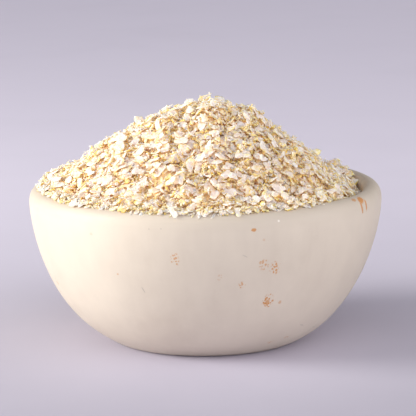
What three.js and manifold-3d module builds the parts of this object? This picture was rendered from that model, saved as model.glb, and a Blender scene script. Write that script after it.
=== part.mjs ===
// A small carved stone bowl, heaped high with quinoa flakes.
// Millimetres, +Z up. The origin is the middle of the bowl's flat foot, on the surface that it stands on.
import * as THREE from "three";
import { mergeVertices } from "three/addons/utils/BufferGeometryUtils.js";
import Module from "manifold-3d";

const wasm = await Module();
wasm.setup();

// Outside of the bowl
const BOWL_RADIUS = 60; // widest, just below the rim
const BOWL_HEIGHT = 53; // foot to the crest of the rim
const FOOT_RADIUS = 31; // the flat that it stands on
const FLARE_RUN = 18; // how far the wall flares out of the foot before it turns up
const FLARE_RISE = 7;
const SIDE_RUN = 18; // nearly upright stretch below the rim

// Rim, a low dome that is steeper towards the inside
const RIM_DROP = 2.8; // crest above the widest point
const RIM_OUTER = 4; // crest to the outside
const RIM_INNER = 2.4; // crest to the inside

// Inside of the bowl
const FLOOR_THICKNESS = 8;
const INSIDE_RUN = 22; // nearly upright stretch below the rim
const FLOOR_SPREAD = 38; // how far the floor stays nearly level

// Facets of the bowl
const BOWL_SEGMENTS = 56;
const WALL_DIVISIONS = 9; // along the outside, and along the inside
const RIM_DIVISIONS = 4; // on each side of the crest

// Heap: straight flanks, a rounded peak, and a lean to one side
const HEAP_GAP = 0.4; // stone to flakes
const HEAP_EDGE_HEIGHT = 51.6; // foot to the heap's edge, on average
const PEAK_HEIGHT = 82.2; // foot to the peak of the core
const PEAK_ROUNDNESS = 0.32; // share of the heap's radius that the rounded peak takes
const HEAP_LEAN = 1.8; // how much higher the edge is on the side that the heap leans to
const LEAN_TOWARDS = 3.3; // that side, in radians from +X
const POURED_WAVES = [
  { folds: 2, height: 0.5, turn: 0.4 },
  { folds: 3, height: 0.4, turn: 4.1 },
]; // swells on the flanks
const HEAP_RINGS = 24; // rings of points from peak to edge
const UNDERSIDE_RINGS = 8;
const UNDERSIDE_SPACING = 8; // between points round the underside

// Bumps of the core, each of a flake's size and leaning its own way
const BUMP_COUNT = 700;
const BUMP_LIFT = 0.45; // most that a bump stands out or lies back
const BUMP_LEAN = 0.5; // steepest lean of a bump off the heap's slope, as rise over run

// Flakes that stand out of the core
const FLAKE_COUNT = 165;
const FLAKE_SIDES = 6;
const FLAKE_LONGEST = 4.6;
const FLAKE_SHORTEST = 3.4;
const FLAKE_THICKNESS = 0.6;
const FLAKE_SLENDERNESS = 0.75; // width over length
const FLAKE_RAGGEDNESS = 0.22; // share by which corners draw in
const FLAKE_TILT = 0.5; // most that a flake leans off the heap's slope, in radians
const FLAKE_LIFT = 0.45; // middle of a flake above the heap's slope
const FLAKE_JITTER = 2; // how far a flake may lie off the even spread
const GOLDEN_ANGLE = Math.PI * (3 - Math.sqrt(5));
const SEED = 20;
const SAME_POINT = 1e-4; // corners closer than this are one

// Finishes
const STONE = new THREE.MeshStandardMaterial({ color: 0xe6ddcd, roughness: 0.6, metalness: 0 });
const FLAKES = new THREE.MeshStandardMaterial({ color: 0xead9b4, roughness: 0.85, metalness: 0 });

// Sizes that follow from those above
const WIDEST_HEIGHT = BOWL_HEIGHT - RIM_DROP;
const CREST_RADIUS = BOWL_RADIUS - RIM_OUTER;
const INSIDE_RADIUS = CREST_RADIUS - RIM_INNER;
const HEAP_RADIUS = INSIDE_RADIUS - HEAP_GAP;

// The same draws each time, from 0 to 1.
function seededDraw(seed) {
  let state = seed;
  return () => {
    state = (state + 0x6d2b79f5) | 0;
    let mixed = Math.imul(state ^ (state >>> 15), 1 | state);
    mixed = (mixed + Math.imul(mixed ^ (mixed >>> 7), 61 | mixed)) ^ mixed;
    return ((mixed ^ (mixed >>> 14)) >>> 0) / 2 ** 32;
  };
}

// The bowl's inside from the foot of the rim down to the middle of the floor, as radius and height.
function insideCurve() {
  return new THREE.CubicBezierCurve(
    new THREE.Vector2(INSIDE_RADIUS, WIDEST_HEIGHT),
    new THREE.Vector2(INSIDE_RADIUS, WIDEST_HEIGHT - INSIDE_RUN),
    new THREE.Vector2(FLOOR_SPREAD, FLOOR_THICKNESS),
    new THREE.Vector2(0, FLOOR_THICKNESS),
  );
}

function bowlGeometry() {
  const foot = [new THREE.Vector2(0, 0)];
  const outside = new THREE.CubicBezierCurve(
    new THREE.Vector2(FOOT_RADIUS, 0),
    new THREE.Vector2(FOOT_RADIUS + FLARE_RUN, FLARE_RISE),
    new THREE.Vector2(BOWL_RADIUS, WIDEST_HEIGHT - SIDE_RUN),
    new THREE.Vector2(BOWL_RADIUS, WIDEST_HEIGHT),
  );
  const upright = Math.PI / 2;
  const rimSide = (reach, from) =>
    new THREE.EllipseCurve(CREST_RADIUS, WIDEST_HEIGHT, reach, RIM_DROP, from, from + upright);
  const outline = foot.concat(
    outside.getPoints(WALL_DIVISIONS),
    rimSide(RIM_OUTER, 0).getPoints(RIM_DIVISIONS).slice(1),
    rimSide(RIM_INNER, upright).getPoints(RIM_DIVISIONS).slice(1),
    insideCurve().getPoints(WALL_DIVISIONS).slice(1),
  );
  return new THREE.LatheGeometry(outline, BOWL_SEGMENTS).rotateX(upright);
}

// Height of the heap's smooth slope at a place in plan.
function slopeHeight(x, y) {
  const share = Math.min(Math.hypot(x, y) / HEAP_RADIUS, 1);
  const angle = Math.atan2(y, x);
  const flank = (at) => Math.hypot(at, PEAK_ROUNDNESS);
  const fallen = (flank(share) - flank(0)) / (flank(1) - flank(0));
  const lean = HEAP_LEAN * share * Math.cos(angle - LEAN_TOWARDS);
  const onFlank = 4 * share * (1 - share);
  const swell = (wave) => wave.height * Math.sin(wave.folds * angle + wave.turn) * onFlank;
  const uneven = POURED_WAVES.reduce((sum, wave) => sum + swell(wave), lean);
  return PEAK_HEIGHT - fallen * (PEAK_HEIGHT - HEAP_EDGE_HEIGHT) + uneven;
}

// A place in plan on an even spiral from the peak out to a radius, the i-th of count.
function spiralPlace(i, count, outTo) {
  const radius = outTo * Math.sqrt((i + 0.5) / count);
  return new THREE.Vector2(radius * Math.cos(i * GOLDEN_ANGLE), radius * Math.sin(i * GOLDEN_ANGLE));
}

// A draw from -most to most.
function eitherWay(most, draw) {
  return most * (2 * draw() - 1);
}

// The core's bumps, evenly spread over the heap.
function heapBumps(draw) {
  return Array.from({ length: BUMP_COUNT }, (_, i) => ({
    at: spiralPlace(i, BUMP_COUNT, HEAP_RADIUS),
    lift: eitherWay(BUMP_LIFT, draw),
    lean: new THREE.Vector2(eitherWay(BUMP_LEAN, draw), eitherWay(BUMP_LEAN, draw)),
  }));
}

// Height of the core at a place in plan: each place lies on the bump that is nearest.
function bumpyHeight(x, y, bumps) {
  const place = new THREE.Vector2(x, y);
  const near = bumps.reduce((best, bump) =>
    bump.at.distanceToSquared(place) < best.at.distanceToSquared(place) ? bump : best,
  );
  return slopeHeight(x, y) + near.lift + near.lean.dot(place.sub(near.at));
}

// A level ring of points round the axis, each raised by what lift gives for its place.
function ring(radius, count, lift) {
  return Array.from({ length: count }, (_, i) => {
    const angle = (2 * Math.PI * i) / count;
    const x = radius * Math.cos(angle);
    const y = radius * Math.sin(angle);
    return new THREE.Vector3(x, y, lift(x, y));
  });
}

// Rings from the peak out to the edge, then down the inside of the bowl to its floor.
function heapRings(draw) {
  const bumps = heapBumps(draw);
  const bumpy = (x, y) => bumpyHeight(x, y, bumps);
  const rings = [ring(0, 1, bumpy)];
  for (let k = 1; k < HEAP_RINGS; k++) {
    rings.push(ring((HEAP_RADIUS * k) / HEAP_RINGS, 6 * k, bumpy));
  }
  rings.push(ring(HEAP_RADIUS, 6 * HEAP_RINGS, slopeHeight));
  const inside = insideCurve();
  for (let k = 1; k < UNDERSIDE_RINGS; k++) {
    const along = k / UNDERSIDE_RINGS;
    const wall = inside.getPoint(along);
    const run = inside.getTangent(along);
    const radius = wall.x + HEAP_GAP * run.y;
    const height = wall.y - HEAP_GAP * run.x;
    rings.push(ring(radius, Math.ceil((2 * Math.PI * radius) / UNDERSIDE_SPACING), () => height));
  }
  rings.push(ring(0, 1, () => FLOOR_THICKNESS + HEAP_GAP));
  return rings;
}

// Triangles between two rings, given by the number of their first points and their counts.
function stitch(upper, lower) {
  const triangles = [];
  const step = (of, at) => of.first + (at % of.count);
  const atEnd = (of, at) => at >= (of.count > 1 ? of.count : 0);
  let i = 0;
  let j = 0;
  while (!atEnd(upper, i) || !atEnd(lower, j)) {
    const lowerLags = (j + 1) / lower.count <= (i + 1) / upper.count;
    const lowerNext = atEnd(upper, i) || (!atEnd(lower, j) && lowerLags);
    const third = lowerNext ? step(lower, j + 1) : step(upper, i + 1);
    triangles.push(step(upper, i), step(lower, j), third);
    if (lowerNext) j++;
    else i++;
  }
  return triangles;
}

function heapCore(draw) {
  const rings = heapRings(draw);
  const places = rings.flat().flatMap((point) => point.toArray());
  const triangles = [];
  let first = 0;
  rings.slice(1).forEach((lower, k) => {
    const count = rings[k].length;
    triangles.push(...stitch({ first, count }, { first: first + count, count: lower.length }));
    first += count;
  });
  const core = new THREE.BufferGeometry();
  core.setAttribute("position", new THREE.Float32BufferAttribute(places, 3));
  return core.setIndex(triangles);
}

// Upward normal of the heap's slope at a place in plan.
function slopeNormal(x, y) {
  const reach = 1;
  const alongX = (slopeHeight(x + reach, y) - slopeHeight(x - reach, y)) / (2 * reach);
  const alongY = (slopeHeight(x, y + reach) - slopeHeight(x, y - reach)) / (2 * reach);
  return new THREE.Vector3(-alongX, -alongY, 1).normalize();
}

// A flat flake with a ragged outline, level and centred on the origin.
function flakeGeometry(length, draw) {
  const corners = Array.from({ length: FLAKE_SIDES }, (_, i) => {
    const angle = (2 * Math.PI * i) / FLAKE_SIDES;
    const reach = (length / 2) * (1 - FLAKE_RAGGEDNESS * draw());
    return new THREE.Vector2(reach * Math.cos(angle), FLAKE_SLENDERNESS * reach * Math.sin(angle));
  });
  const flake = new THREE.ExtrudeGeometry(new THREE.Shape(corners), {
    depth: FLAKE_THICKNESS,
    bevelEnabled: false,
  });
  return flake.translate(0, 0, -FLAKE_THICKNESS / 2);
}

// The flakes lie in an even spiral over the heap, each of its own length and leaning its own way.
function lyingFlake(i, draw) {
  const length = THREE.MathUtils.lerp(FLAKE_LONGEST, FLAKE_SHORTEST, draw());
  const spot = spiralPlace(i, FLAKE_COUNT, HEAP_RADIUS - FLAKE_LONGEST / 2 - FLAKE_JITTER);
  const x = spot.x + eitherWay(FLAKE_JITTER / Math.SQRT2, draw);
  const y = spot.y + eitherWay(FLAKE_JITTER / Math.SQRT2, draw);
  const normal = slopeNormal(x, y);
  const level = new THREE.Vector3(0, 0, 1);
  const lean = new THREE.Euler(eitherWay(FLAKE_TILT, draw), eitherWay(FLAKE_TILT, draw), 0);
  const turn = new THREE.Quaternion()
    .setFromUnitVectors(level, normal)
    .multiply(new THREE.Quaternion().setFromEuler(lean))
    .multiply(new THREE.Quaternion().setFromAxisAngle(level, 2 * Math.PI * draw()));
  const place = new THREE.Vector3(x, y, slopeHeight(x, y)).addScaledVector(normal, FLAKE_LIFT);
  const size = new THREE.Vector3(1, 1, 1);
  return flakeGeometry(length, draw).applyMatrix4(new THREE.Matrix4().compose(place, turn, size));
}

function toSolid(geometry) {
  const bare = geometry.clone();
  bare.deleteAttribute("normal");
  bare.deleteAttribute("uv");
  const merged = mergeVertices(bare, SAME_POINT);
  return new wasm.Manifold(
    new wasm.Mesh({
      numProp: 3,
      vertProperties: merged.getAttribute("position").array,
      triVerts: new Uint32Array(merged.index.array),
    }),
  );
}

function toGeometry(solid) {
  const mesh = solid.getMesh();
  const geometry = new THREE.BufferGeometry();
  geometry.setAttribute("position", new THREE.BufferAttribute(mesh.vertProperties, 3));
  geometry.setIndex(new THREE.BufferAttribute(mesh.triVerts, 1));
  geometry.computeVertexNormals();
  return geometry;
}

// The core with its flakes fused on. Only the outer skin is kept, so no gap is sealed inside.
function heapGeometry() {
  const draw = seededDraw(SEED);
  let heap = toSolid(heapCore(draw));
  for (let i = 0; i < FLAKE_COUNT; i++) {
    heap = heap.add(toSolid(lyingFlake(i, draw)));
  }
  const skins = heap.decompose().sort((a, b) => b.volume() - a.volume());
  return toGeometry(skins[0]);
}

function namedMesh(name, geometry, material) {
  const mesh = new THREE.Mesh(geometry, material);
  mesh.name = name;
  return mesh;
}

const bowlOfFlakes = new THREE.Group();
bowlOfFlakes.add(namedMesh("bowl", bowlGeometry(), STONE));
bowlOfFlakes.add(namedMesh("flake_heap", heapGeometry(), FLAKES));

export default bowlOfFlakes;
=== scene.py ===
"""A carved stone bowl heaped with quinoa flakes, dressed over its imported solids.

Places are in metres in the row's frame: +Z up, -Y towards the viewer, and the origin in the middle of the
bowl's foot. Flakes are laid one by one on a fine grid of heights, each on those below it.
"""
import logging
import math
from collections.abc import Callable
from dataclasses import dataclass, field
from enum import Enum

import bpy
import numpy as np
from mathutils import Matrix, Vector


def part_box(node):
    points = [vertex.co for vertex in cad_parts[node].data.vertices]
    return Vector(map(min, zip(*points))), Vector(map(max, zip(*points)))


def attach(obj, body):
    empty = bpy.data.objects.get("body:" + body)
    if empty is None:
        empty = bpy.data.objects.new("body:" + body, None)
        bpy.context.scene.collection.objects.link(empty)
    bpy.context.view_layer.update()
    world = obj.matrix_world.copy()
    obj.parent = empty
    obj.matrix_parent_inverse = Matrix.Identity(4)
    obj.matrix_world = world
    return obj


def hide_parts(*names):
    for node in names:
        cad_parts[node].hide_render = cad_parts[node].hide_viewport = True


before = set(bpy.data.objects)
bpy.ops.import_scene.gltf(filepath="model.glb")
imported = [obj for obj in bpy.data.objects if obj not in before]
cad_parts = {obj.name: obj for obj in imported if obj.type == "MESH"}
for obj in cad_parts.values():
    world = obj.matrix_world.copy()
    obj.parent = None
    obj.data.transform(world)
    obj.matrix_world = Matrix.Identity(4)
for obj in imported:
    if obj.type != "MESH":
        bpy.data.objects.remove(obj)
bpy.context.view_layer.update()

MM = 0.001
BODY = "root"
BAKE_MAP = "OFBake"
# Stands for a height where there is nothing.
NOWHERE = -1.0
# Radius of the smallest ring, where a turned face closes in its middle.
PINCH = 0.001 * MM
# The middle of a bent bit sags by this share of its bend.
BEND_SAG = 0.33
# Most of what a noise gives lies between these.
NOISE_SPAN = (0.3, 0.7)
Triple = tuple[float, float, float]
Span = tuple[float, float]
Spot = tuple[int, int]
Draws = np.random.Generator
Socket = bpy.types.NodeSocket
log = logging.getLogger("bowl_of_flakes")


def eased(share: np.ndarray) -> np.ndarray:
    """Share from 0 to 1, easing in and out."""
    held = np.clip(share, 0.0, 1.0)
    return held * held * (3.0 - 2.0 * held)


def angles(count: int) -> np.ndarray:
    """Even directions all the way round, in radians."""
    return 2.0 * math.pi * np.arange(count) / count


class Ripple:
    """A smooth seeded unevenness over space, as a sum of plane waves."""

    def __init__(self, seed: int, wavelength: float, waves: int = 10) -> None:
        """Draws the waves.

        Args:
            seed: What the draw starts from.
            wavelength: Typical distance from crest to crest, in metres.
            waves: How many waves are summed.
        """
        draw = np.random.default_rng(seed)
        ways = draw.normal(size=(waves, 3))
        ways /= np.linalg.norm(ways, axis=1, keepdims=True)
        lengths = wavelength * draw.uniform(0.7, 1.5, size=(waves, 1))
        self.ways = ways * (2.0 * math.pi / lengths)
        self.phases = draw.uniform(0.0, 2.0 * math.pi, size=waves)
        self.share = 1.0 / math.sqrt(waves / 2.0)

    def at(self, points: np.ndarray) -> np.ndarray:
        """Unevenness at points, mostly from -1 to 1."""
        return self.share * np.sin(points @ self.ways.T + self.phases).sum(axis=-1)


class NodeDesk:
    """A material's nodes, laid out by short calls that hand back sockets."""

    def __init__(self, name: str) -> None:
        """Starts a material with a plain shader.

        Args:
            name: The material's name.
        """
        self.material = bpy.data.materials.new(name)
        self.material.use_nodes = True
        self.tree = self.material.node_tree
        self.shader = self.tree.nodes["Principled BSDF"]

    def put(self, socket: Socket, value: object) -> None:
        """Links a socket into another, or sets a plain value on it.

        Args:
            socket: The input.
            value: An output to link, or the value.
        """
        if isinstance(value, Socket):
            self.tree.links.new(value, socket)
        else:
            socket.default_value = value

    def add(self, kind: str, inputs: dict[str | int, object], **settings: object) -> bpy.types.Node:
        """Adds a node.

        Args:
            kind: The node's type.
            inputs: What goes into its inputs, by name or number.
            settings: Properties to set on it.

        Returns:
            The node.
        """
        node = self.tree.nodes.new(kind)
        for name, value in settings.items():
            setattr(node, name, value)
        for name, value in inputs.items():
            self.put(node.inputs[name], value)
        return node

    def dress(self, colour: Socket, rough: object, gloss: float = 0.5) -> None:
        """Gives the shader its colour, roughness and gloss."""
        for name, value in {"Base Color": colour, "Roughness": rough, "Specular IOR Level": gloss}.items():
            self.put(self.shader.inputs[name], value)

    def place(self) -> Socket:
        """The place on the object that is being shaded."""
        return self.add("ShaderNodeTexCoord", {}).outputs["Object"]

    def along(self, where: Socket, axis: str) -> Socket:
        """How far a place lies along one axis."""
        return self.add("ShaderNodeSeparateXYZ", {0: where}).outputs[axis]

    def attribute(self, name: str) -> Socket:
        """A number that the mesh carries."""
        return self.add("ShaderNodeAttribute", {}, attribute_name=name).outputs["Fac"]

    def cells(self, where: Socket, scale: float) -> bpy.types.Node:
        """Cells round scattered points, by how many there are to a metre."""
        return self.add("ShaderNodeTexVoronoi", {"Vector": where, "Scale": scale})

    def noise(self, where: Socket, scale: float, detail: float = 3.0, rough: float = 0.55) -> Socket:
        """Noise about 0.5 on average, by clouds to a metre, finer octaves and how strong those are."""
        inputs = {"Vector": where, "Scale": scale, "Detail": detail, "Roughness": rough}
        return self.add("ShaderNodeTexNoise", inputs).outputs["Fac"]

    def stretched(self, where: Socket, by: Triple) -> Socket:
        """Coordinates that are scaled differently along each axis."""
        return self.add("ShaderNodeMapping", {"Vector": where, "Scale": by}).outputs["Vector"]

    def maths(self, operation: str, first: object, second: object) -> Socket:
        """A sum, product or the like of two numbers."""
        return self.add("ShaderNodeMath", {0: first, 1: second}, operation=operation).outputs[0]

    def blended(self, first: Socket, second: Socket, share: float) -> Socket:
        """Two numbers added, the second by its share and the first by the rest."""
        parts = (self.maths("MULTIPLY", first, 1.0 - share), self.maths("MULTIPLY", second, share))
        return self.maths("ADD", *parts)

    def ranged(self, value: Socket, span: Span, to: Span) -> Socket:
        """A number carried smoothly from one range into another.

        Args:
            value: The number.
            span: Where it starts and ends.
            to: What those become.

        Returns:
            The number in its new range, held at the ends.
        """
        ends = dict(zip(("From Min", "From Max", "To Min", "To Max"), (*span, *to)))
        node = self.add("ShaderNodeMapRange", {"Value": value, **ends}, interpolation_type="SMOOTHSTEP")
        return node.outputs["Result"]

    def ramp(self, value: Socket, stops: list[tuple[float, Triple]]) -> Socket:
        """A colour picked along a ramp.

        Args:
            value: Where on the ramp, from 0 to 1.
            stops: Places on the ramp and their colours.

        Returns:
            The colour.
        """
        node = self.add("ShaderNodeValToRGB", {"Fac": value})
        points = node.color_ramp.elements
        while len(points) < len(stops):
            points.new(0.5)
        for point, (at, colour) in zip(points, stops):
            point.position = at
            point.color = (*colour, 1.0)
        return node.outputs["Color"]

    def mixed(self, share: Socket, first: Socket, second: object) -> Socket:
        """Two colours mixed.

        Args:
            share: How much of the second, from 0 to 1.
            first: A colour's socket.
            second: A colour or its socket.

        Returns:
            The mixed colour.
        """
        node = self.add("ShaderNodeMix", {"Factor": share}, data_type="RGBA")
        inputs = [socket for socket in node.inputs if socket.type == "RGBA"]
        for socket, colour in zip(inputs, (first, second)):
            self.put(socket, (*colour, 1.0) if isinstance(colour, tuple) else colour)
        return next(socket for socket in node.outputs if socket.type == "RGBA")

    def bump(self, height: Socket, strength: float, distance: float) -> None:
        """Dents the shaded surface by a height, where a height of 1 is a distance in metres."""
        node = self.add("ShaderNodeBump", {"Strength": strength, "Distance": distance, "Height": height})
        self.put(self.shader.inputs["Normal"], node.outputs["Normal"])


def joined_mesh(
    name: str, points: np.ndarray, faces: np.ndarray, layout: np.ndarray | None = None
) -> bpy.types.Mesh:
    """A mesh from arrays.

    Args:
        name: The mesh's name.
        points: Corners, three numbers each.
        faces: Corner numbers, one row to a face.
        layout: How the mesh lies flat for its textures, by one pair of numbers for each face corner.

    Returns:
        The mesh, shaded smooth.
    """
    mesh = bpy.data.meshes.new(name)
    mesh.vertices.add(len(points))
    mesh.vertices.foreach_set("co", np.asarray(points, np.float32).ravel())
    mesh.loops.add(faces.size)
    mesh.loops.foreach_set("vertex_index", np.asarray(faces, np.int32).ravel())
    mesh.polygons.add(len(faces))
    mesh.polygons.foreach_set("loop_start", np.arange(0, faces.size, faces.shape[1], dtype=np.int32))
    mesh.update(calc_edges=True)
    mesh.polygons.foreach_set("use_smooth", np.ones(len(faces), bool))
    if layout is not None:
        flat = mesh.uv_layers.new(name=BAKE_MAP)
        flat.uv.foreach_set("vector", np.asarray(layout, np.float32).ravel())
    return mesh


def set_numbers(mesh: bpy.types.Mesh, name: str, values: np.ndarray) -> None:
    """Gives each corner point of the mesh a number that its finish can read."""
    attribute = mesh.attributes.new(name, "FLOAT", "POINT")
    attribute.data.foreach_set("value", np.asarray(values, np.float32).ravel())


def in_scene(name: str, data: bpy.types.ID) -> bpy.types.Object:
    """Puts a mesh, light or camera in the scene.

    Args:
        name: The object's name.
        data: What it holds.

    Returns:
        The object.
    """
    made = bpy.data.objects.new(name, data)
    bpy.context.scene.collection.objects.link(made)
    return made


def shown_piece(mesh: bpy.types.Mesh, material: bpy.types.Material) -> bpy.types.Object:
    """Puts a mesh in the scene as a piece of the object.

    Args:
        mesh: Its mesh.
        material: Its finish.

    Returns:
        The piece, riding on the object's one body.
    """
    piece = in_scene(mesh.name, mesh)
    mesh.materials.append(material)
    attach(piece, BODY)
    triangles = sum(len(polygon.vertices) - 2 for polygon in mesh.polygons)
    log.info("%s: %d triangles", piece.name, triangles)
    return piece


def ring_faces(around: int, along: np.ndarray) -> tuple[np.ndarray, np.ndarray]:
    """Four-cornered faces between closed rings of points, from the first ring to the last.

    Args:
        around: How many points are in each ring.
        along: Where each ring lies in the flat layout, from 0 to 1.

    Returns:
        Corner numbers, four to a face, and the layout, as one pair of numbers for each face corner.
    """
    ring, step = np.meshgrid(np.arange(len(along) - 1), np.arange(around), indexing="ij")
    onward = (step + 1) % around
    first, after = ring * around, (ring + 1) * around
    corners = np.stack([first + step, first + onward, after + onward, after + step], axis=-1)
    left, right, low, high = step / around, (step + 1) / around, along[ring], along[ring + 1]
    pairs = [(left, low), (right, low), (right, high), (left, high)]
    layout = np.stack([np.stack(pair, axis=-1) for pair in pairs], axis=-2)
    return corners.reshape(-1, 4), layout.reshape(-1, 4, 2)


def turned(radius: np.ndarray, height: np.ndarray, around: int) -> np.ndarray:
    """Rings of points round the axis.

    Args:
        radius: Of each ring.
        height: Of each ring.
        around: How many points in each.

    Returns:
        The points, ring by ring.
    """
    angle = angles(around)
    x = radius[:, None] * np.cos(angle)
    y = radius[:, None] * np.sin(angle)
    z = np.broadcast_to(height[:, None], x.shape)
    return np.stack([x, y, z], axis=-1).reshape(-1, 3)


def bezier(points: list[Span], steps: int) -> np.ndarray:
    """Points along a curve with four control points.

    Args:
        points: The control points, as radius and height.
        steps: How many points are wanted.

    Returns:
        The points, ends included.
    """
    a, b, c, d = np.array(points, float)
    t = np.linspace(0.0, 1.0, steps)[:, None]
    return (1 - t) ** 3 * a + 3 * t * (1 - t) ** 2 * b + 3 * t**2 * (1 - t) * c + t**3 * d


def directions(line: np.ndarray) -> np.ndarray:
    """Unit directions along a line of points."""
    run = np.gradient(line, axis=0)
    return run / np.linalg.norm(run, axis=1, keepdims=True)


class MarkTint(Enum):
    """What a mark on the stone is, by its colour."""

    RUST = (0.52, 0.235, 0.07)
    GREY = (0.25, 0.23, 0.21)
    PALE = (0.80, 0.76, 0.70)


@dataclass(frozen=True)
class StoneMark:
    """A stain, speck or scratch on the outside of the bowl.

    Azimuth is in degrees round from +X, slant in degrees off upright, and sizes are in millimetres.
    A speckled mark breaks up into specks.
    """

    azimuth: float
    height: float
    width: float
    tall: float
    tint: MarkTint
    strength: float
    speckle: bool = False
    slant: float = 0.0


@dataclass(frozen=True)
class StoneFinish:
    """Honed cream soapstone, faintly clouded, brushed and stained, with painted shade darkening it towards
    the rim.
    """

    pale: Triple = (0.645, 0.57, 0.485)
    middle: Triple = (0.61, 0.537, 0.457)
    deep: Triple = (0.565, 0.49, 0.413)
    # Painted shade: the stone is painted darker towards the rim, between these heights.
    rim_painted_shade: Triple = (0.525, 0.458, 0.39)
    rim_painted_shade_heights: Span = (46.5 * MM, 51.5 * MM)
    rough: Span = (0.44, 0.62)
    gloss: float = 0.35
    dents: Span = (0.25, 0.15 * MM)
    cloud_scale: float = 38.0
    brush_scale: Triple = (260.0, 260.0, 45.0)
    grain_scale: float = 1900.0
    rag_scale: float = 1700.0
    ragged: float = 0.9
    speck_scale: float = 1150.0
    speck_edge: Span = (0.34, 0.56)
    mark_size: float = 1.35
    mark_edge: Span = (0.42, 0.75)

    def material(self, marks: list[StoneMark], bowl: "StoneBowl") -> bpy.types.Material:
        """Builds the finish.

        Args:
            marks: What is on the stone.
            bowl: The bowl that they lie on.

        Returns:
            The material.
        """
        desk = NodeDesk("cream_soapstone")
        where = desk.place()
        clouds = desk.noise(where, self.cloud_scale, 5.0, 0.6)
        brushed = desk.noise(desk.stretched(where, self.brush_scale), 1.0, 4.0)
        grain = desk.noise(where, self.grain_scale, 2.0)
        mottling = desk.blended(clouds, brushed, 0.3)
        colour = desk.ramp(mottling, [(0.3, self.deep), (0.5, self.middle), (0.68, self.pale)])
        # Painted shade: the stone darkens towards the rim's roll.
        rim_painted_shade = desk.ranged(desk.along(where, "Z"), self.rim_painted_shade_heights, (0.0, 0.8))
        colour = desk.mixed(rim_painted_shade, colour, self.rim_painted_shade)
        for tint in MarkTint:
            chosen = [mark for mark in marks if mark.tint is tint]
            colour = desk.mixed(self.marked(desk, where, chosen, bowl), colour, tint.value)
        desk.dress(colour, desk.ranged(brushed, NOISE_SPAN, self.rough), self.gloss)
        desk.bump(desk.blended(brushed, grain, 0.3), *self.dents)
        return desk.material

    def marked(self, desk: NodeDesk, where: Socket, marks: list[StoneMark], bowl: "StoneBowl") -> Socket:
        """How strongly marks of one tint show.

        Args:
            desk: The material's nodes.
            where: The place that is being shaded.
            marks: The marks.
            bowl: The bowl that they lie on.

        Returns:
            A number from 0 to 1.
        """
        uneven = desk.maths("SUBTRACT", desk.noise(where, self.rag_scale, 2.0, 0.6), 0.5)
        broken = desk.maths("MULTIPLY", uneven, self.ragged)
        away = desk.cells(where, self.speck_scale).outputs["Distance"]
        specks = desk.ranged(desk.maths("ADD", away, broken), self.speck_edge, (1.0, 0.0))
        outer = desk.maths("ADD", broken, self.mark_size)
        shown: Socket | float = 0.0
        for mark in marks:
            inputs = {
                "Vector": where,
                "Location": bowl.on_outside(mark.azimuth, mark.height * MM),
                "Rotation": (math.radians(mark.slant), 0.0, math.radians(mark.azimuth)),
                "Scale": (max(mark.width, mark.tall) * MM, mark.width * MM / 2.0, mark.tall * MM / 2.0),
            }
            own = desk.add("ShaderNodeMapping", inputs, vector_type="TEXTURE").outputs["Vector"]
            far = desk.add("ShaderNodeVectorMath", {0: own}, operation="LENGTH").outputs["Value"]
            inside = desk.maths("SUBTRACT", outer, far)
            fades = desk.ranged(inside, self.mark_edge, (0.0, mark.strength))
            if mark.speckle:
                fades = desk.maths("MULTIPLY", fades, specks)
            shown = desk.maths("MAXIMUM", fades, shown)
        return shown


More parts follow.
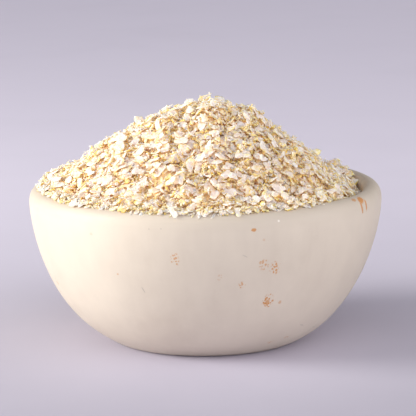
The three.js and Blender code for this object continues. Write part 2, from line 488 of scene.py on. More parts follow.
@dataclass
class StoneBowl:
    """The thick-walled bowl, carved from one stone and honed by hand."""

    radius: float
    height: float
    foot_radius: float = 31 * MM
    foot_edge: float = 0.9 * MM
    flare_run: float = 18 * MM
    flare_rise: float = 7 * MM
    side_run: float = 18 * MM
    rim_drop: float = 2.8 * MM
    rim_outer: float = 4 * MM
    rim_inner: float = 2.4 * MM
    rim_ease: float = 4 * MM
    rim_power: float = 3.4
    floor_thickness: float = 8 * MM
    inside_run: float = 22 * MM
    floor_spread: float = 38 * MM
    hand_wave: Span = (0.12 * MM, 46 * MM)
    tool_wave: Span = (0.015 * MM, 7 * MM)
    even_foot: float = 3 * MM
    around: int = 300
    foot_steps: int = 9
    wall_steps: int = 62
    rim_steps: int = 31
    inner_steps: int = 40
    mark_wall_steps: int = 200
    mark_rim_steps: int = 30
    seed: int = 5
    finish: StoneFinish = field(default_factory=StoneFinish)

    @classmethod
    def from_frame(cls) -> "StoneBowl":
        """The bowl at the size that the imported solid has."""
        low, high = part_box("bowl")
        return cls(radius=(high.x - low.x) / 2.0, height=high.z)

    @property
    def widest_height(self) -> float:
        """Height of the widest point, where the rim starts."""
        return self.height - self.rim_drop

    @property
    def crest_radius(self) -> float:
        """Radius of the rim's crest."""
        return self.radius - self.rim_outer

    @property
    def inside_radius(self) -> float:
        """Radius of the inside at the foot of the rim."""
        return self.crest_radius - self.rim_inner

    def outside(self, steps: int) -> np.ndarray:
        """The outer wall from the foot to the rim.

        Args:
            steps: How many points are wanted.

        Returns:
            Radius and height of each point.
        """
        first = (self.foot_radius, 0.0)
        flare = (self.foot_radius + self.flare_run, self.flare_rise)
        side = (self.radius, self.widest_height - self.side_run)
        line = bezier([first, flare, side, (self.radius, self.widest_height)], steps)
        line[:, 0] -= self.roll(line[:, 1])
        return line

    def roll(self, height: np.ndarray) -> np.ndarray:
        """How far the stone draws in as it eases over into the rim, by height."""
        up = (height - self.widest_height + self.rim_ease) / (self.rim_drop + self.rim_ease)
        return self.rim_outer * (1.0 - np.sqrt(1.0 - np.clip(up, 0.0, 1.0) ** self.rim_power))

    def inside(self, steps: int) -> np.ndarray:
        """The inner wall from the rim down to the middle of the floor.

        Args:
            steps: How many points are wanted.

        Returns:
            Radius and height of each point.
        """
        top = (self.inside_radius, self.widest_height)
        side = (self.inside_radius, self.widest_height - self.inside_run)
        floor = (self.floor_spread, self.floor_thickness)
        return bezier([top, side, floor, (0.0, self.floor_thickness)], steps)

    def rim(self, steps: int) -> np.ndarray:
        """The rim from outside to inside.

        Args:
            steps: How many points are wanted.

        Returns:
            Radius and height of each point.
        """
        turn = np.linspace(0.0, math.pi, steps)
        height = self.widest_height + self.rim_drop * np.sin(turn)
        inner = self.crest_radius + self.rim_inner * np.cos(turn)
        radius = np.where(turn < math.pi / 2.0, self.radius - self.roll(height), inner)
        return np.stack([radius, height], axis=1)

    def on_outside(self, azimuth: float, height: float) -> Triple:
        """A place on the outside.

        Args:
            azimuth: In degrees round from +X.
            height: Above the foot.

        Returns:
            The place.
        """
        over = self.rim(2 * self.mark_rim_steps)[: self.mark_rim_steps]
        line = np.concatenate([self.outside(self.mark_wall_steps), over])
        radius = float(np.interp(height, line[:, 1], line[:, 0]))
        turn = math.radians(azimuth)
        return (radius * math.cos(turn), radius * math.sin(turn), height)

    def top_height(self, radius: np.ndarray) -> np.ndarray:
        """Height of the rim's top at a radius.

        Args:
            radius: Distances from the axis.

        Returns:
            A height for each, NOWHERE off the rim.
        """
        across = radius - self.crest_radius
        share = across / np.where(across > 0.0, self.rim_outer, self.rim_inner)
        left = np.clip(1.0 - share**2, 0.0, 1.0)
        eases = (self.rim_drop + self.rim_ease) * left ** (1.0 / self.rim_power) - self.rim_ease
        rise = np.where(across > 0.0, eases, self.rim_drop * np.sqrt(left))
        return np.where(np.abs(share) <= 1.0, self.widest_height + rise, NOWHERE)

    def outline(self) -> np.ndarray:
        """The whole outline from the middle of the foot, over the rim, to the middle of the floor.

        Returns:
            Radius and height of each point.
        """
        wall = self.outside(self.wall_steps)
        away = np.linalg.norm(wall - wall[0], axis=1)
        wall = wall[away > self.foot_edge]
        flat = np.linspace(PINCH, self.foot_radius - self.foot_edge, self.foot_steps)
        foot = np.stack([flat, np.zeros_like(flat)], axis=1)
        inner = self.inside(self.inner_steps)[1:]
        inner[-1, 0] = PINCH
        return np.concatenate([foot, wall, self.rim(self.rim_steps)[1:], inner])

    def marks(self) -> list[StoneMark]:
        """What shows on the side in view, and more of the same on the sides that don't show.

        Returns:
            The marks.
        """
        rust, grey, pale = MarkTint.RUST, MarkTint.GREY, MarkTint.PALE
        seen = [
            StoneMark(-75.2, 47.7, 2.1, 1.4, rust, 0.9),
            StoneMark(-71.9, 44.2, 1.2, 1.0, rust, 0.3),
            StoneMark(-99.7, 38.4, 3.6, 5.8, rust, 0.7, True),
            StoneMark(-71.4, 35.7, 4.6, 4.8, rust, 0.7, True),
            StoneMark(-67.4, 34.3, 4.8, 5.8, rust, 0.85, True),
            StoneMark(-68.0, 22.6, 5.0, 6.4, rust, 1.0, True),
            StoneMark(-68.2, 22.2, 2.0, 2.6, rust, 0.75),
            StoneMark(-63.1, 21.7, 1.4, 1.8, rust, 0.5),
            StoneMark(-78.2, 29.2, 3.2, 3.2, rust, 0.65, True),
            StoneMark(-85.6, 32.0, 2.4, 3.2, rust, 0.45, True),
            StoneMark(-120.0, 32.1, 0.9, 0.9, rust, 0.5),
            StoneMark(-128.3, 44.9, 1.6, 1.2, rust, 0.2),
            StoneMark(-29.2, 51.7, 4.6, 2.6, rust, 0.95),
            StoneMark(-33.0, 52.3, 3.2, 1.1, rust, 0.7),
            StoneMark(-30.4, 49.6, 1.5, 5.6, rust, 0.9, False, 10.0),
            StoneMark(-27.0, 49.8, 1.5, 5.0, rust, 0.9, False, -6.0),
            StoneMark(-57.9, 5.3, 3.4, 1.6, rust, 0.5, True),
            StoneMark(-49.8, 6.4, 3.4, 1.6, rust, 0.5, True),
            StoneMark(-77.8, 39.2, 0.4, 2.4, grey, 0.3, False, 62.0),
            StoneMark(-111.6, 27.2, 0.4, 2.8, grey, 0.55, False, 24.0),
            StoneMark(-107.5, 48.3, 0.6, 0.6, grey, 0.4),
            StoneMark(-103.7, 48.5, 0.6, 0.6, grey, 0.35),
            StoneMark(-46.0, 10.7, 0.6, 3.2, grey, 0.25, False, 70.0),
            StoneMark(-32.4, 7.7, 0.6, 3.2, grey, 0.25, False, 76.0),
            StoneMark(-67.0, 50.0, 0.9, 0.9, pale, 0.8),
        ]
        draw = np.random.default_rng(self.seed)
        unseen = []
        for azimuth in np.arange(5.0, 215.0, 15.0):
            size = draw.uniform(0.8, 4.0)
            place = (azimuth + draw.uniform(-6.0, 6.0), draw.uniform(8.0, 49.0))
            shape = (size, size * draw.uniform(0.7, 1.4))
            strength = draw.uniform(0.25, 0.8)
            unseen.append(StoneMark(*place, *shape, rust, strength, size > 1.5))
        return seen + unseen

    def build(self) -> bpy.types.Object:
        """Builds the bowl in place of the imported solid.

        Returns:
            The piece.
        """
        line = self.outline()
        points = turned(line[:, 0], line[:, 1], self.around)
        run, angle = directions(line), angles(self.around)
        outward = np.stack([
            run[:, 1, None] * np.cos(angle),
            run[:, 1, None] * np.sin(angle),
            np.broadcast_to(-run[:, 0, None], (len(line), self.around)),
        ], axis=-1).reshape(-1, 3)
        waves = enumerate((self.hand_wave, self.tool_wave))
        uneven = sum(high * Ripple(self.seed + k, long).at(points) for k, (high, long) in waves)
        off_floor = eased(points[:, 2] / self.even_foot)
        points = points + outward * (uneven * off_floor)[:, None]
        length = np.concatenate([[0.0], np.cumsum(np.linalg.norm(np.diff(line, axis=0), axis=1))])
        mesh = joined_mesh("bowl_stone", points, *ring_faces(self.around, length / length[-1]))
        piece = shown_piece(mesh, self.finish.material(self.marks(), self))
        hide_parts("bowl")
        return piece


@dataclass
class Mound:
    """The heap's smooth form: straight flanks, a rounded peak, a lean, and a skirt spilt on the rim.

    Waves are folds round the heap, each with a height and a turn. Clumps are bumps all over it, each with a
    seed, a wavelength and a height. Spill is the skirt, and bare the side where the rim shows none of it.
    """

    bowl: StoneBowl
    gap: float = 0.4 * MM
    edge_height: float = 51.6 * MM
    peak_height: float = 82.2 * MM
    flake_stand: float = 2.7 * MM
    peak_roundness: float = 0.32
    lean: float = 1.8 * MM
    lean_towards: float = 3.3
    waves: tuple[tuple[int, float, float], ...] = ((2, 0.5 * MM, 0.4), (3, 0.4 * MM, 4.1))
    clumps: tuple[tuple[int, float, float], ...] = ((3, 11 * MM, 0.35 * MM), (4, 5 * MM, 0.25 * MM))
    clump_waves: int = 14
    ragged: float = 0.3 * MM
    bare_towards: float = math.radians(-3.0)
    bare_wide: float = math.radians(38.0)
    bare_back: float = 6.4 * MM
    hollow_wide: float = math.radians(14.0)
    hollow_deep: Span = (2.0 * MM, 8.0 * MM)
    spill_end: float = 58.6 * MM
    spill_back: float = 1.6 * MM
    spill_depth: Span = (0.3 * MM, 0.05 * MM)
    spill_thins: float = 0.7
    spill_least: float = 0.1 * MM
    shelf_in: float = 1.0 * MM
    peak_fall: float = 1.4 * MM
    peak_fall_at: Span = (-9 * MM, 0.0)
    peak_fall_wide: float = 11 * MM

    @property
    def radius(self) -> float:
        """Radius of the heap where it meets the bowl's inside."""
        return self.bowl.inside_radius - self.gap

    def slope(self, x: np.ndarray, y: np.ndarray) -> np.ndarray:
        """Height of the smooth slope.

        Args:
            x: Places in plan.
            y: Places in plan.

        Returns:
            A height for each place.
        """
        share = np.minimum(np.hypot(x, y) / self.radius, 1.0)
        angle = np.arctan2(y, x)
        flank = np.hypot(share, self.peak_roundness) - self.peak_roundness
        fallen = flank / (math.hypot(1.0, self.peak_roundness) - self.peak_roundness)
        uneven = self.lean * share * np.cos(angle - self.lean_towards)
        for folds, height, turn in self.waves:
            uneven = uneven + height * np.sin(folds * angle + turn) * 4.0 * share * (1.0 - share)
        return self.peak_height - fallen * (self.peak_height - self.edge_height) + uneven

    def reach(self, angle: np.ndarray) -> np.ndarray:
        """How far out flakes lie, round the heap.

        Args:
            angle: Directions, in radians from +X.

        Returns:
            A radius for each direction.
        """
        ragged = self.ragged * (np.sin(7.0 * angle + 1.0) + np.sin(13.0 * angle + 2.2) * 0.7 - 1.2)
        back = self.bare_back * self.bare(angle, self.bare_wide)
        back = back + self.spill_back * np.clip(-np.cos(angle), 0.0, 1.0) ** 2
        return self.spill_end - back + ragged

    def bare(self, angle: np.ndarray, wide: float) -> np.ndarray:
        """How near directions are to the side where the rim is bare, from 0 to 1."""
        off = (angle - self.bare_towards + math.pi) % (2.0 * math.pi) - math.pi
        return np.exp(-((off / wide) ** 2))

    def wanted(self, x: np.ndarray, y: np.ndarray) -> np.ndarray:
        """Height up to which flakes lie.

        Args:
            x: Places in plan.
            y: Places in plan.

        Returns:
            A height for each place, NOWHERE where none lie.
        """
        distance, angle = np.hypot(x, y), np.arctan2(y, x)
        reach = self.reach(angle)
        hollow = self.bare(angle, self.hollow_wide)
        out = np.clip((distance - self.radius) / np.maximum(reach - self.radius, self.spill_least), 0.0, 1.0)
        shelf = self.bowl.top_height(np.maximum(distance, self.bowl.crest_radius - self.shelf_in))
        shelf = shelf - self.hollow_deep[1] * hollow
        skirt = np.where(distance < self.radius, shelf, self.bowl.top_height(distance))
        deepest, least = self.spill_depth
        thins = 1.0 - self.spill_thins * out
        skirt = skirt + (least + deepest * np.clip(-x / self.radius, 0.0, 1.0) * thins)
        places = np.stack([x, y, 0.0 * x], axis=-1)
        clumps = sum(
            high * Ripple(seed, long, self.clump_waves).at(places) for seed, long, high in self.clumps
        )
        away = np.hypot(x - self.peak_fall_at[0], y - self.peak_fall_at[1]) / self.peak_fall_wide
        stand = self.flake_stand + self.peak_fall * np.exp(-(away**2))
        stand = stand + self.hollow_deep[0] * hollow * eased(distance / self.radius * 4.0 - 3.0)
        heap = np.where(distance <= self.radius, self.slope(x, y) - stand + clumps, NOWHERE)
        return np.where(distance <= reach, np.maximum(heap, skirt), NOWHERE)


class FlakeKind(Enum):
    """The kinds of bits that the heap is made of."""

    WHOLE = "flakes_whole"
    RINGED = "flakes_ringed"
    BROKEN = "flakes_broken"
    CHIP = "flake_chips"
    SLIVER = "flake_slivers"
    CURL = "germ_curls"
    CRUMB = "flake_crumbs"
    UNDER = "flakes_under"


@dataclass(frozen=True)
class FlakeRecipe:
    """What bits of one kind measure, in millimetres, and how they lie.

    Share is how common the kind is in the heap, slender width over length, bend how far the ends lift, and
    tilt how far a bit leans off what it lies on. Sides is how many corners its outline has and ragged how
    uneven that is. Tone is how pale the bits are, germ how many are golden with it, and fills how much of
    its oval a bit fills.
    """

    share: float
    length: Span
    slender: Span
    thick: Span
    bend: float
    tilt: float
    sides: int
    ragged: float
    tone: Span
    germ: float = 0.0
    fills: float = 0.75


RECIPES: dict[FlakeKind, FlakeRecipe] = {
    FlakeKind.WHOLE: FlakeRecipe(
        0.10, (3.0, 5.6), (0.5, 0.9), (0.16, 0.26), 0.45, 0.25, 12, 0.42, (0.7, 1.05)
    ),
    FlakeKind.RINGED: FlakeRecipe(
        0.16, (2.0, 3.3), (0.6, 0.92), (0.2, 0.32), 0.35, 0.30, 10, 0.24, (0.5, 0.9)
    ),
    FlakeKind.BROKEN: FlakeRecipe(
        0.29, (1.4, 3.4), (0.4, 0.85), (0.14, 0.28), 0.32, 0.36, 8, 0.42, (0.35, 1.0), 0.06, 0.55
    ),
    FlakeKind.CHIP: FlakeRecipe(
        0.20, (0.7, 1.5), (0.4, 0.9), (0.14, 0.28), 0.15, 0.40, 7, 0.36, (0.3, 1.0)
    ),
    FlakeKind.SLIVER: FlakeRecipe(
        0.25, (1.2, 3.3), (0.14, 0.32), (0.14, 0.26), 0.30, 0.34, 6, 0.28, (0.1, 0.7), 0.36
    ),
    FlakeKind.CURL: FlakeRecipe(
        0.07, (1.5, 2.3), (0.75, 1.0), (0.26, 0.40), 0.12, 0.45, 5, 0.10, (0.3, 0.9), 1.0, 0.5
    ),
    FlakeKind.CRUMB: FlakeRecipe(
        0.0, (0.4, 1.0), (0.5, 0.95), (0.16, 0.36), 0.0, 0.4, 5, 0.30, (0.55, 1.0)
    ),
    # Bits that lie under others take lower tones, darker and more golden, as painted shade.
    FlakeKind.UNDER: FlakeRecipe(
        0.0, (1.0, 3.0), (0.4, 0.9), (0.16, 0.30), 0.3, 0.4, 8, 0.34, (0.2, 0.75), 0.1
    ),
}

# What falls into the gaps between larger bits, chips twice as often as the others.
FILLERS = (FlakeKind.CHIP, FlakeKind.CHIP, FlakeKind.BROKEN, FlakeKind.SLIVER)
# Small kinds that give way to broken flakes on the rim.
OFF_RIM = (FlakeKind.CHIP, FlakeKind.CURL)


@dataclass(frozen=True)
class FlakeFinish:
    """Dry pressed grain: chalky and pale, with golden germ where a bit has any."""

    # The lowest tones serve both golden bits and the painted shade of bits that lie deep.
    shaded: Triple = (0.95, 0.61, 0.19)
    golden: Triple = (0.97, 0.735, 0.34)
    cream: Triple = (0.98, 0.854, 0.68)
    white: Triple = (0.985, 0.93, 0.873)
    germ_deep: Triple = (0.68, 0.375, 0.05)
    germ_bright: Triple = (0.90, 0.575, 0.10)
    meal_scale: float = 1500.0
    streak_scale: float = 700.0
    streak_tone: Span = (-0.32, 0.25)
    rough: Span = (0.55, 0.8)
    gloss: float = 0.3
    dents: Span = (0.35, 0.12 * MM)
    glow: float = 1.0
    glow_depth: float = 1.4 * MM
    glow_tint: Triple = (1.0, 0.95, 0.85)

    def material(self, name: str) -> bpy.types.Material:
        """Builds the finish for bits of one kind.

        Args:
            name: The material's name.

        Returns:
            The material, which reads the numbers tone and germ from the mesh.
        """
        desk = NodeDesk(name)
        where = desk.place()
        mealy = desk.noise(where, self.meal_scale)
        streaks = desk.ranged(desk.noise(where, self.streak_scale, 2.0), NOISE_SPAN, self.streak_tone)
        # The tone that the mesh carries is lowered on bits that lie deep, as painted shade.
        tone = desk.maths("ADD", desk.attribute("tone"), streaks)
        stops = [(0.0, self.shaded), (0.35, self.golden), (0.65, self.cream), (1.0, self.white)]
        flesh = desk.ramp(tone, stops)
        toasted = desk.ranged(mealy, NOISE_SPAN, (0.0, 1.0))
        germ = desk.ramp(toasted, [(0.0, self.germ_deep), (0.7, self.germ_bright)])
        colour = desk.mixed(desk.attribute("germ"), flesh, germ)
        dusty = desk.mixed(desk.ranged(mealy, (0.4, 0.75), (0.0, 0.15)), colour, self.white)
        desk.dress(dusty, desk.ranged(mealy, NOISE_SPAN, self.rough), self.gloss)
        glows = {"Weight": self.glow, "Scale": self.glow_depth, "Radius": self.glow_tint}
        for part, value in glows.items():
            desk.shader.inputs["Subsurface " + part].default_value = value
        desk.bump(mealy, *self.dents)
        return desk.material


@dataclass
class Laid:
    """Bits of one kind as they lie.

    Each has a middle, its axes along, across and upright, its half length, half width, thickness and bend,
    and how deep it is covered.
    """

    middle: np.ndarray
    axes: np.ndarray
    sizes: np.ndarray
    cover: np.ndarray

    def __len__(self) -> int:
        """How many bits there are."""
        return len(self.middle)

    def kept(self, which: np.ndarray) -> "Laid":
        """Only some of the bits."""
        return Laid(*(part[which] for part in vars(self).values()))

    def joined(self, other: "Laid") -> "Laid":
        """These bits and others together."""
        pairs = zip(vars(self).values(), vars(other).values())
        return Laid(*(np.concatenate(pair) for pair in pairs))

    def placed(self, local: np.ndarray) -> np.ndarray:
        """Points along, across and upright of each bit, carried to where it lies."""
        return self.middle[:, None, None, :] + local @ self.axes[:, None]


class FlakeBed:
    """The top of what lies in and on the bowl, as heights on a fine grid, where bits come to rest."""

    margin: float = 3 * MM
    steepest: float = 1.0
    near_edge: float = 0.7

    def __init__(self, mound: Mound, depth: float, layer: float, cell: float = 0.2 * MM) -> None:
        """Starts with the core and the stone's rim, with nothing on them.

        Args:
            mound: The heap's form.
            depth: How far the core lies below the smooth slope.
            layer: How far it lies below the top of the flakes at least.
            cell: The grid's step.
        """
        self.cell = cell
        self.half = mound.bowl.radius + self.margin
        self.count = int(2 * self.half / cell) + 1
        line = -self.half + cell * np.arange(self.count)
        self.x, self.y = np.meshgrid(line, line)
        distance = np.hypot(self.x, self.y)
        self.form = mound.wanted(self.x, self.y)
        core = mound.slope(self.x, self.y) - depth
        core = np.where(self.form > 0.0, np.minimum(core, self.form - layer), core)
        stone = mound.bowl.top_height(distance)
        self.height = np.where(distance <= mound.bowl.inside_radius, core, stone)
        self.seek(0.0, self.half)
        self.offsets: dict[int, tuple[np.ndarray, np.ndarray]] = {}

    def seek(self, nearest: float, furthest: float) -> None:
        """Looks for hollows where flakes lie, between two distances from the axis.

        Args:
            nearest: The smaller distance.
            furthest: The larger one.
        """
        distance = np.hypot(self.x, self.y)
        between = (distance >= nearest) & (distance < furthest)
        self.wanted = self.form
        self.open = np.flatnonzero(((self.form > 0.0) & between).ravel())

    def seek_gaps(self, radius: float, depth: float, reach: int = 6) -> None:
        """Looks for gaps between bits only.

        Args:
            radius: How far out to look.
            depth: How far below what lies round it a gap is.
            reach: How far that is, in cells.
        """
        inner = np.hypot(self.x, self.y) < radius
        self.wanted = np.where(inner, self.nearby(np.mean, reach) - depth, NOWHERE)
        self.open = np.flatnonzero((self.wanted > self.height).ravel())

    def nearby(self, what: Callable[..., np.ndarray], reach: int) -> np.ndarray:
        """The heights near each point of the grid, taken together.

        Args:
            what: How they are taken together, such as by their mean.
            reach: How far to look, in cells.

        Returns:
            A height for each point.
        """
        near = self.height
        for axis in (0, 1):
            near = what([np.roll(near, step, axis) for step in range(-reach, reach + 1)], axis=0)
        return near

    def cells(self, along: np.ndarray) -> np.ndarray:
        """Rows or columns of the grid that coordinates fall in."""
        return np.rint((along + self.half) / self.cell).astype(int)

    def patch(self, reach: int) -> tuple[np.ndarray, np.ndarray]:
        """Plan offsets of the grid's points round a middle one.

        Args:
            reach: How far out they go, in cells.

        Returns:
            The offsets along X and along Y.
        """
        if reach not in self.offsets:
            line = self.cell * np.arange(-reach, reach + 1)
            self.offsets[reach] = tuple(np.meshgrid(line, line))
        return self.offsets[reach]

    def distance(self, at: Spot) -> float:
        """How far a place is from the axis."""
        return math.hypot(self.x[at], self.y[at])

    def hollow(self, draw: Draws, looks: int) -> tuple[Spot, float]:
        """The place furthest below the wanted height, of a few drawn at random.

        Args:
            draw: Where the draws come from.
            looks: How many places are drawn.

        Returns:
            Row and column of the place, and how far below it lies.
        """
        places = self.open[draw.integers(0, len(self.open), looks)]
        lack = self.wanted.ravel()[places] - self.height.ravel()[places]
        best = int(np.argmax(lack))
        return divmod(int(places[best]), self.count), float(lack[best])

    def settle(
        self,
        at: Spot,
        size: tuple[float, float, float, float],
        tilt: float,
        draw: Draws,
        tries: int,
        fills: float,
    ) -> tuple[np.ndarray, np.ndarray]:
        """Lays a bit down, leaning the way that lets it sink lowest of a few tries.

        Args:
            at: Row and column of its middle.
            size: Half its length, half its width, its thickness and its bend.
            tilt: How far a try may lean off what lies below, as rise over run.
            draw: Where the tries come from.
            tries: How many there are.
            fills: The share of its oval that the bit fills.

        Returns:
            Its middle, and its axes along, across and upright.
        """
        along, across, thick, bend = size
        reach = int(math.ceil(along / self.cell)) + 1
        row, column = at
        rows, columns = slice(row - reach, row + reach + 1), slice(column - reach, column + reach + 1)
        ground = self.height[rows, columns]
        dx, dy = self.patch(reach)
        near = (dx * dx + dy * dy <= along * along) & (ground > 0.0)
        rise = (ground - ground[reach, reach])[near]
        leans = [(way[near] * rise).sum() / (way[near] ** 2).sum() for way in (dx, dy)]
        lean_x, lean_y = (float(np.clip(lean, -self.steepest, self.steepest)) for lean in leans)
        best = None
        for _ in range(tries):
            sx, sy = lean_x + draw.normal(0.0, tilt), lean_y + draw.normal(0.0, tilt)
            steep = math.sqrt(1.0 + sx * sx + sy * sy)
            turn = draw.uniform(0.0, 2.0 * math.pi)
            u = np.array([math.cos(turn), math.sin(turn), sx * math.cos(turn) + sy * math.sin(turn)])
            u /= np.linalg.norm(u)
            w = np.array([-sx, -sy, 1.0]) / steep
            v = np.cross(w, u)
            plane = sx * dx + sy * dy
            far_u = (dx * u[0] + dy * u[1] + plane * u[2]) / along
            far_v = (dx * v[0] + dy * v[1] + plane * v[2]) / across
            under = far_u * far_u + far_v * far_v <= fills
            low = plane + steep * (bend * (far_u * far_u - BEND_SAG) - thick / 2.0)
            touch = float((ground - low)[under].max())
            if best is None or touch < best[0]:
                best = (touch, u, v, w, under, low + steep * thick)
        touch, u, v, w, under, top = best
        ground[under] = np.maximum(ground[under], top[under] + touch)
        middle = np.array([self.x[row, column], self.y[row, column], touch])
        return middle, np.stack([u, v, w])

    def hollows(self, x: np.ndarray, y: np.ndarray, reach: int = 4) -> np.ndarray:
        """Height of the lowest point near each place, by a reach in cells."""
        return self.nearby(np.min, reach)[self.cells(y), self.cells(x)]

    def cover(self, middle: np.ndarray, axes: np.ndarray, sizes: np.ndarray) -> np.ndarray:
        """How deep bits lie under the finished top, at their middles and near their edges.

        Args:
            middle: Where the bits lie.
            axes: Their axes.
            sizes: Their sizes.

        Returns:
            Five depths for each bit.
        """
        ways = self.near_edge * np.array([(0, 0, 0), (1, 0, 0), (-1, 0, 0), (0, 1, 0), (0, -1, 0)])
        reach = np.stack([sizes[:, 0], sizes[:, 1], 0.0 * sizes[:, 0]], axis=1)
        points = middle[:, None] + (ways[None] * reach[:, None]) @ axes
        return self.height[self.cells(points[..., 1]), self.cells(points[..., 0])] - points[..., 2]


def turns(count: int, draw: Draws) -> np.ndarray:
    """A direction for each bit, in radians."""
    return draw.uniform(0.0, 2.0 * math.pi, (count, 1, 1))


def closed_faces(sides: int, rings: int) -> np.ndarray:
    """Faces over one bit, from an end through its rings of corners to the other end.

    Args:
        sides: How many corners are in each ring.
        rings: How many rings there are, each end counted as one.

    Returns:
        Corner numbers, three to a face: one strip at each end, and two from ring to ring.
    """
    step = np.arange(sides)
    onward = (step + 1) % sides
    last = (rings - 2) * sides + 1
    strips = [(0 * step, 1 + step, 1 + onward)]
    for a in range(1, last - sides, sides):
        b = a + sides
        strips += [(a + step, b + step, b + onward), (a + step, b + onward, a + onward)]
    strips.append((last - sides + step, 0 * step + last, last - sides + onward))
    return np.concatenate([np.stack(strip, axis=1) for strip in strips])


def for_all(faces: np.ndarray, count: int) -> np.ndarray:
    """One bit's faces repeated for all bits."""
    return (faces[None] + (faces.max() + 1) * np.arange(count)[:, None, None]).reshape(-1, 3)


def in_tiles(local: np.ndarray) -> np.ndarray:
    """Lays bits out flat, each in a tile of its own.

    Args:
        local: For each bit, one pair of numbers from 0 to 1 for each face corner.

    Returns:
        The pairs with every bit in its tile.
    """
    count = len(local)
    tiles = int(math.ceil(math.sqrt(count)))
    tile = np.stack([np.arange(count) % tiles, np.arange(count) // tiles], axis=1)
    return ((local + tile[:, None, :]) / tiles).reshape(-1, 2)


